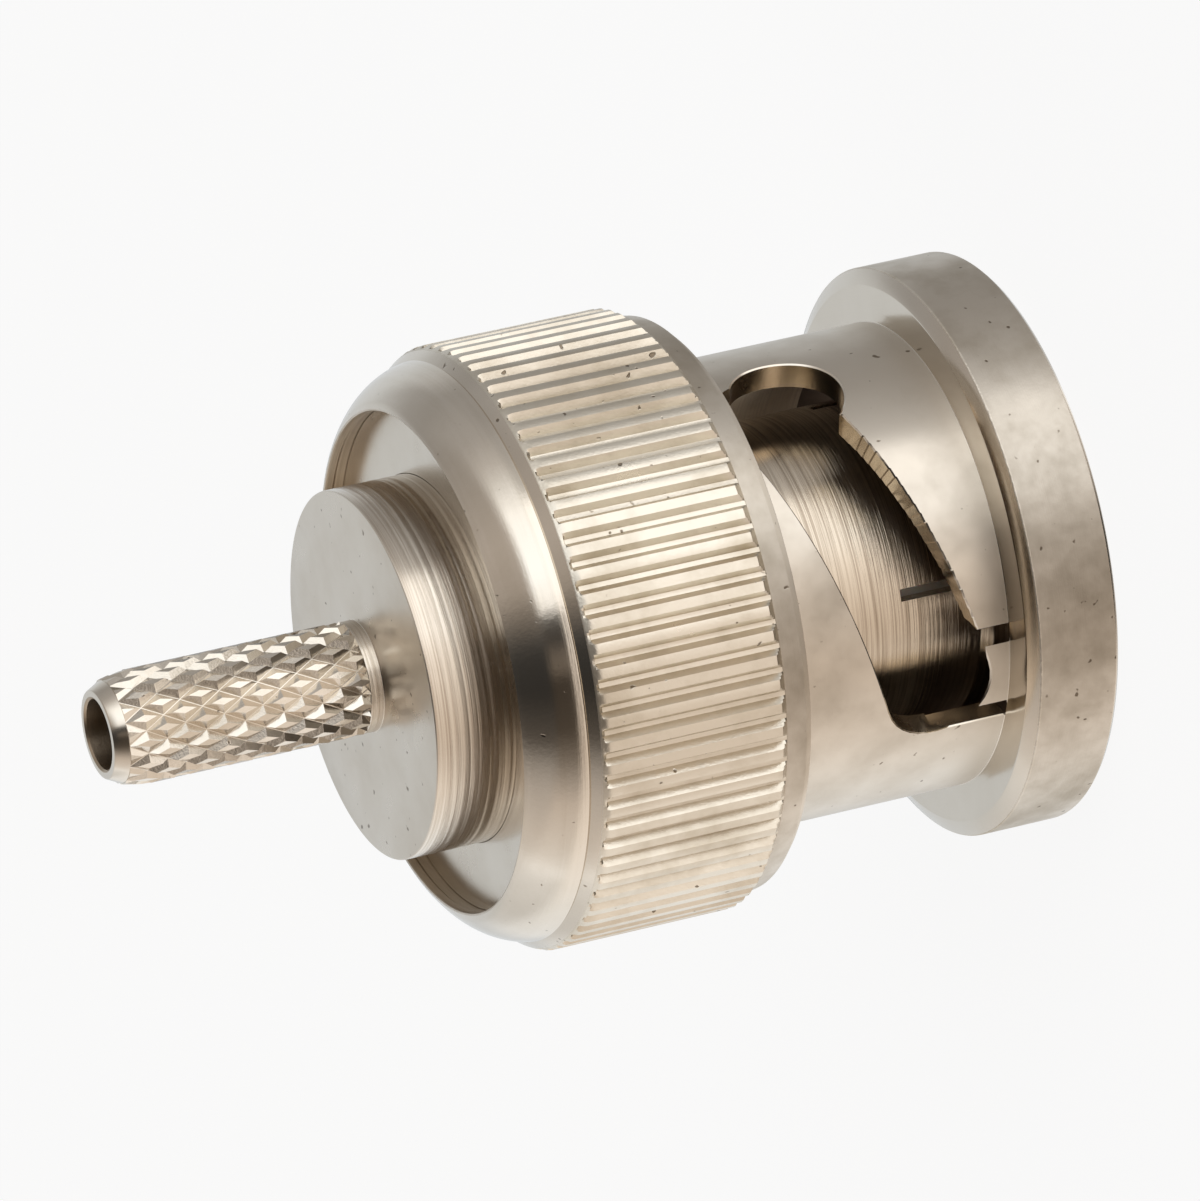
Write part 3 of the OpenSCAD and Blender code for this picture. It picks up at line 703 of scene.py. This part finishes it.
lamp = bpy.data.lights.new("soft box", "AREA")
lamp.energy, lamp.size = 0.12, 0.25
box = bpy.data.objects.new("soft box", lamp)
box.location = (0.12, 0.2, 0.3)
box.rotation_euler = Vector(box.location).to_track_quat("Z", "Y").to_euler()
box.visible_glossy = False
scene.collection.objects.link(box)

# What the bright metal mirrors: a white table to one side, a dark room behind the camera,
# a soft box beside it and grey walls beyond. Each stop is an angle, a light level and a
# warmth, from 1 for brown to below 0 for the blue of a skylight.
TABLE = [(-180, 0.80, -0.1), (-90, 0.80, -0.1), (-70, 0.84, 0), (-58, 0.98, 0),
         (-54, 1.2, 0), (-50, 0.98, 0.3), (-44, 0.87, 0.5), (-36, 0.74, 0.7),
         (-31, 0.50, 0.7), (-26, 0.25, 0.9), (-20, 0.09, 1.2), (-9, 0.06, 1.2),
         (-7, 0.20, 1), (-4, 0.18, 0.9), (-2, 0.06, 0.6), (3, 0.08, 0.6), (5, 1.45, 0),
         (12, 1.6, -0.3), (25, 1.55, -0.1), (31, 1.05, 0), (37, 0.68, 0.2),
         (44, 0.50, 0.2), (60, 0.40, 0.1), (68, 0.44, 0), (78, 0.60, -0.2),
         (90, 0.70, -0.3), (179, 0.80, -0.1)]
OVER = [(-180, 0.75, 0), (-90, 0.80, 0), (-60, 0.86, 0.2), (-44, 0.78, 0.5),
        (-34, 0.62, 0.5), (-28, 0.42, 0.5), (-22, 0.11, 0.8), (-12, 0.04, 0.4),
        (-4, 0.05, 0.2), (-1, 0.08, 0.3), (5, 0.28, 0.7), (9, 0.50, 0.6), (20, 0.60, 0.5),
        (36, 0.46, 0.4), (60, 0.36, 0.1), (76, 0.45, -0.1), (90, 0.52, -0.2),
        (179, 0.75, 0)]
UNDER = [(-180, 0.85, -0.1), (-90, 0.95, -0.2), (-66, 1.15, -0.1), (-54, 1.2, 0.2),
         (-42, 1.15, 0.5), (-30, 0.95, 0.7), (-24, 0.95, 0.8), (-15, 1.05, 0.7),
         (-6, 1.25, 0.5), (3, 1.5, 0.3), (8, 1.75, 0), (26, 1.8, 0), (28.5, 0.75, 0.1),
         (38, 0.56, 0.1), (48, 0.42, 0.2), (60, 0.40, 0.1), (68, 0.60, -0.1),
         (80, 0.75, -0.3), (179, 0.85, -0.1)]
WALL = (0.75, -0.28)


def light(level, warm):
    """A light's colour from its level and its warmth."""
    return (level, level * (1 - 0.16 * warm), level * (1 - 0.30 * warm), 1)


def studio():
    world = bpy.data.worlds.new("studio")
    scene.world = world
    world.use_nodes = True
    tree = world.node_tree
    way = add(tree, "ShaderNodeTexCoord").outputs["Generated"]
    axes = add(tree, "ShaderNodeSeparateXYZ", {0: way})
    ahead = add(tree, "ShaderNodeMath", {0: axes.outputs[0], 1: 0.94})
    turn = add(tree, "ShaderNodeMath", {0: axes.outputs[1], 1: ahead.outputs[0]},
               operation="ARCTAN2")
    where = add(tree, "ShaderNodeMapRange", {"Value": turn.outputs[0], "From Min": -pi,
                                             "From Max": pi})
    bands = []
    for stops in (TABLE, OVER, UNDER):
        band = add(tree, "ShaderNodeValToRGB", {0: where.outputs[0]})
        ramp = band.color_ramp
        for i, (angle, level, warm) in enumerate(stops):
            spot = (angle + 180) / 360
            stop = ramp.elements[0] if i == 0 else ramp.elements.new(spot)
            stop.position, stop.color = spot, light(level, warm)
        ramp.elements.remove(ramp.elements[-1])
        bands.append(band.outputs[0])
    high = add(tree, "ShaderNodeMapRange", {"Value": axes.outputs[2], "From Min": 0.55,
                                            "From Max": 0.75}, interpolation_type="SMOOTHSTEP")
    low = add(tree, "ShaderNodeMapRange", {"Value": axes.outputs[2], "From Min": 0.25,
                                           "From Max": 0.02}, interpolation_type="SMOOTHSTEP")
    foot = add(tree, "ShaderNodeMapRange", {"Value": axes.outputs[2], "From Min": -0.8,
                                            "From Max": -0.9}, interpolation_type="SMOOTHSTEP")
    upper = add(tree, "ShaderNodeMix", {0: high.outputs[0], 6: bands[0], 7: bands[1]},
                data_type="RGBA")
    lower = add(tree, "ShaderNodeMix", {0: low.outputs[0], 6: upper.outputs[2], 7: bands[2]},
                data_type="RGBA")
    base = add(tree, "ShaderNodeMix", {0: foot.outputs[0], 6: lower.outputs[2], 7: bands[1]},
               data_type="RGBA")
    # straight away from the camera the bands meet in a point: an even wall stands there
    aside = add(tree, "ShaderNodeCombineXYZ", {0: ahead.outputs[0], 1: axes.outputs[1]})
    away = add(tree, "ShaderNodeVectorMath", {0: aside.outputs[0]}, operation="LENGTH")
    wall = add(tree, "ShaderNodeMapRange", {"Value": away.outputs["Value"], "From Min": 0.5,
                                            "From Max": 0.25}, interpolation_type="SMOOTHSTEP")
    room = add(tree, "ShaderNodeMix", {0: wall.outputs[0], 6: base.outputs[2],
                                       7: light(*WALL)}, data_type="RGBA")
    path = add(tree, "ShaderNodeLightPath")
    mirrored = add(tree, "ShaderNodeBackground", {"Color": room.outputs[2]})
    plain = add(tree, "ShaderNodeBackground", {"Color": (1, 1, 1, 1)})
    both = add(tree, "ShaderNodeMixShader", {0: path.outputs["Is Camera Ray"],
                                             1: mirrored.outputs[0], 2: plain.outputs[0]})
    tree.links.new(both.outputs[0], tree.nodes["World Output"].inputs[0])


studio()
scene.view_settings.view_transform = "Standard"
